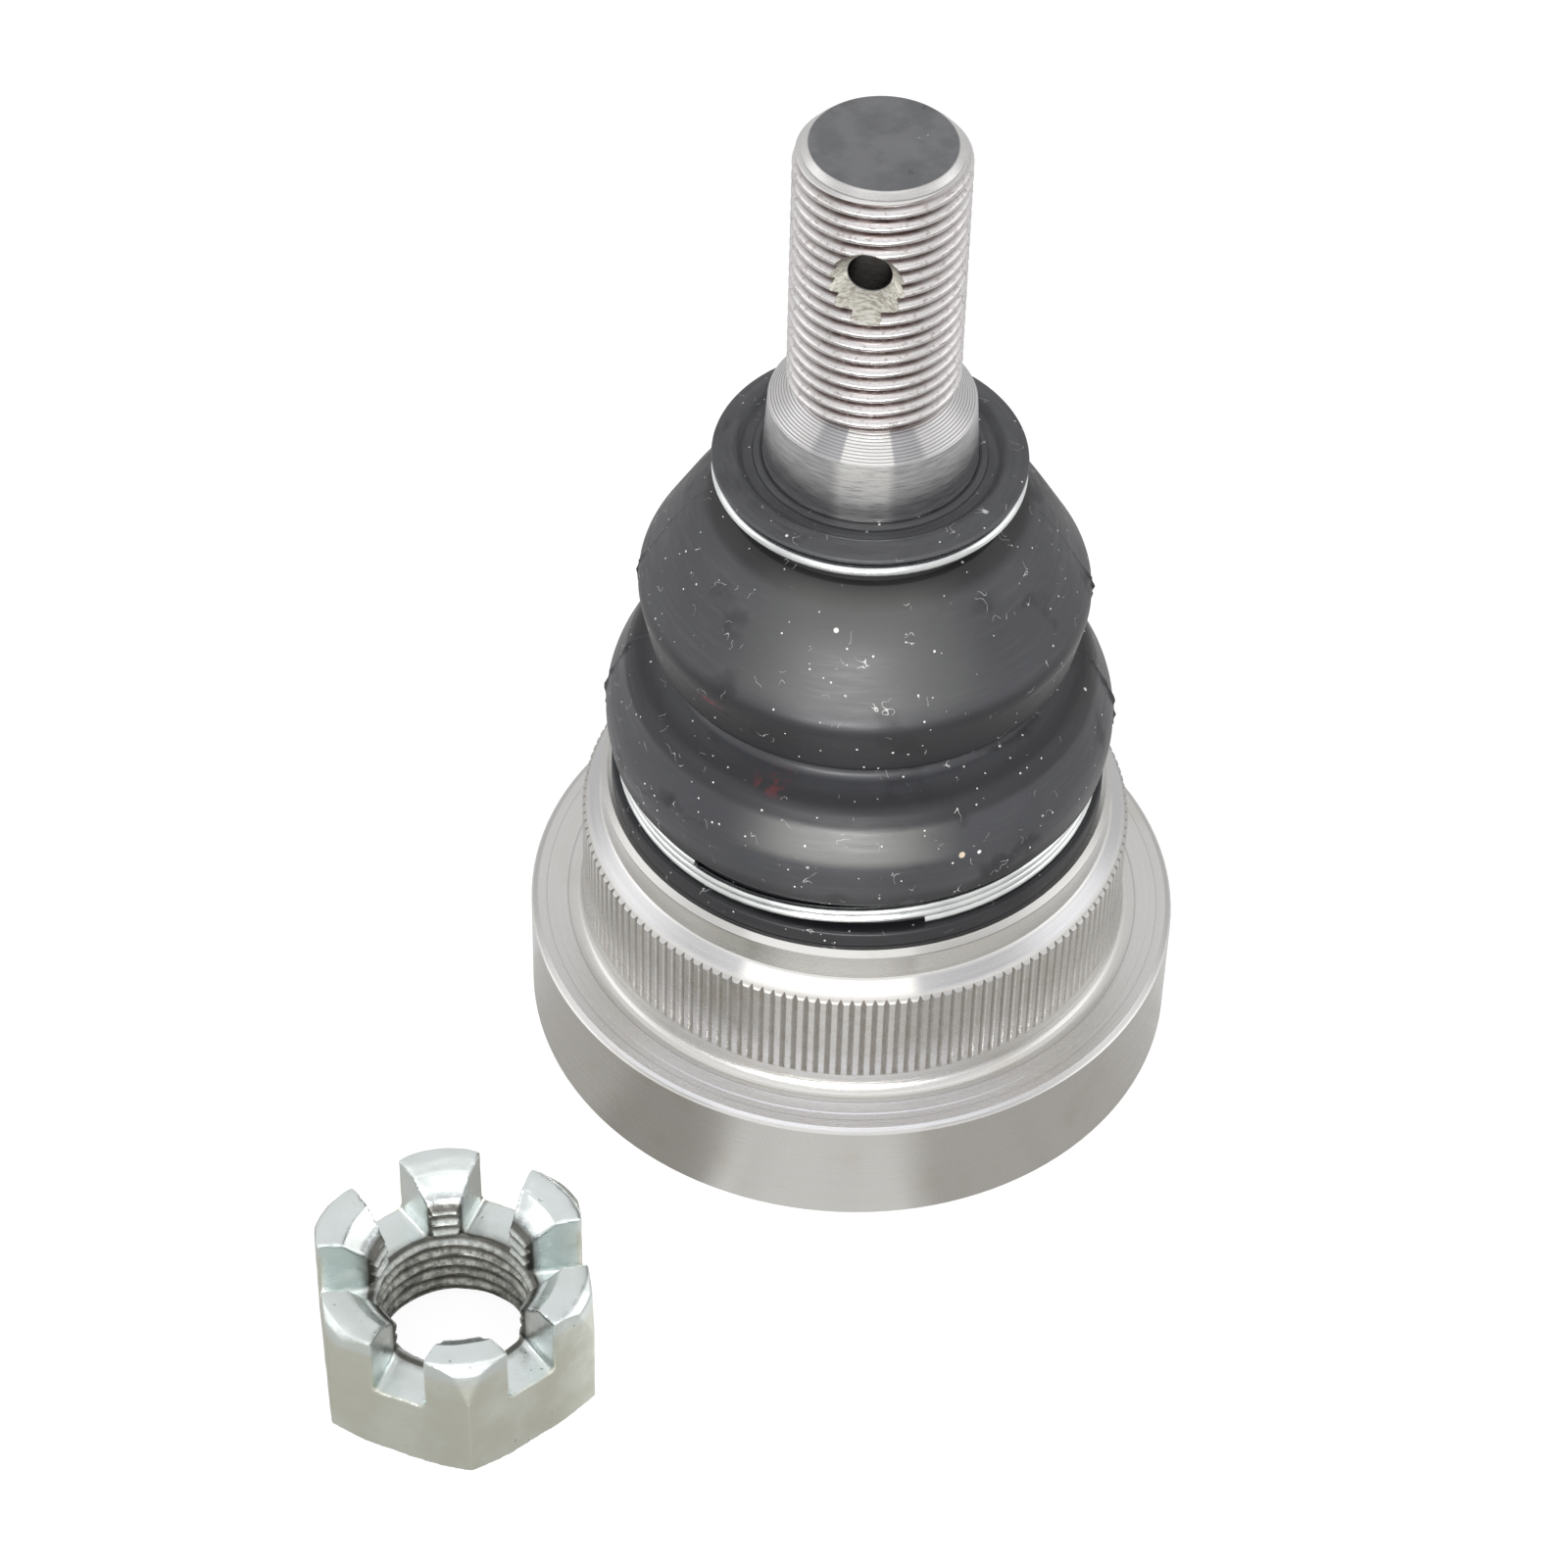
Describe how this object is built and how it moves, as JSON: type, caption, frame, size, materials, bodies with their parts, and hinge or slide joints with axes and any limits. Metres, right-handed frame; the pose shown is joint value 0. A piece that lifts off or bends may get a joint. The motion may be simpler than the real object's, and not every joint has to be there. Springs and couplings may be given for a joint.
{
  "type": "suspension ball joint",
  "caption": "Press-in suspension ball joint with a flanged knurled housing, tapered threaded stud, bellows boot with wire clamps and a loose castle nut.",
  "frame": {"origin": "centre of the flat base face, on the housing's axis", "axes": "+Z along the stud from the base to the threaded end, +X to the right and +Y away from the front view in which the loose nut lies in front on the left"},
  "size_m": [0.0815, 0.098, 0.1074],
  "materials": {
    "turned_steel": "turned and lightly oiled",
    "pressed_steel": "satin",
    "spring_steel": "blued",
    "bearing_plastic": "moulded",
    "stud_steel": "turned",
    "boot_rubber": "dusty satin",
    "clamp_wire": "bright drawn wire",
    "zinc_plating": "blue-white zinc plating"
  },
  "bodies": {
    "housing": {"housing": "turned_steel", "cover_plate": "pressed_steel", "disc_spring": "spring_steel", "lower_clamp_ring": "clamp_wire"},
    "bearing": {"lower_bearing": "bearing_plastic", "upper_bearing": "bearing_plastic"},
    "neck": {"dust_boot": "boot_rubber", "upper_clamp_ring": "clamp_wire"},
    "stud": {"ball_stud": "stud_steel"},
    "nut": {"castle_nut": "zinc_plating"}
  },
  "joints": [
    {"name": "swing_direction", "type": "hinge", "parent": "housing", "child": "bearing", "pos_m": [0, 0, 0.02], "axis": [0, 0, 1], "range_deg": [-90, 90]},
    {"name": "stud_swing", "type": "hinge", "parent": "bearing", "child": "neck", "pos_m": [0, 0, 0.02], "axis": [0, 1, 0], "range_deg": [-24, 24], "deforming": ["dust_boot"]},
    {"name": "stud_spin", "type": "hinge", "parent": "neck", "child": "stud", "pos_m": [0, 0, 0.02], "axis": [0, 0, 1], "continuous": true},
    {"name": "nut_lift", "type": "slide", "parent": "housing", "child": "nut", "axis": [0, 0, 1], "range_m": [0, 0.05]}
  ]
}
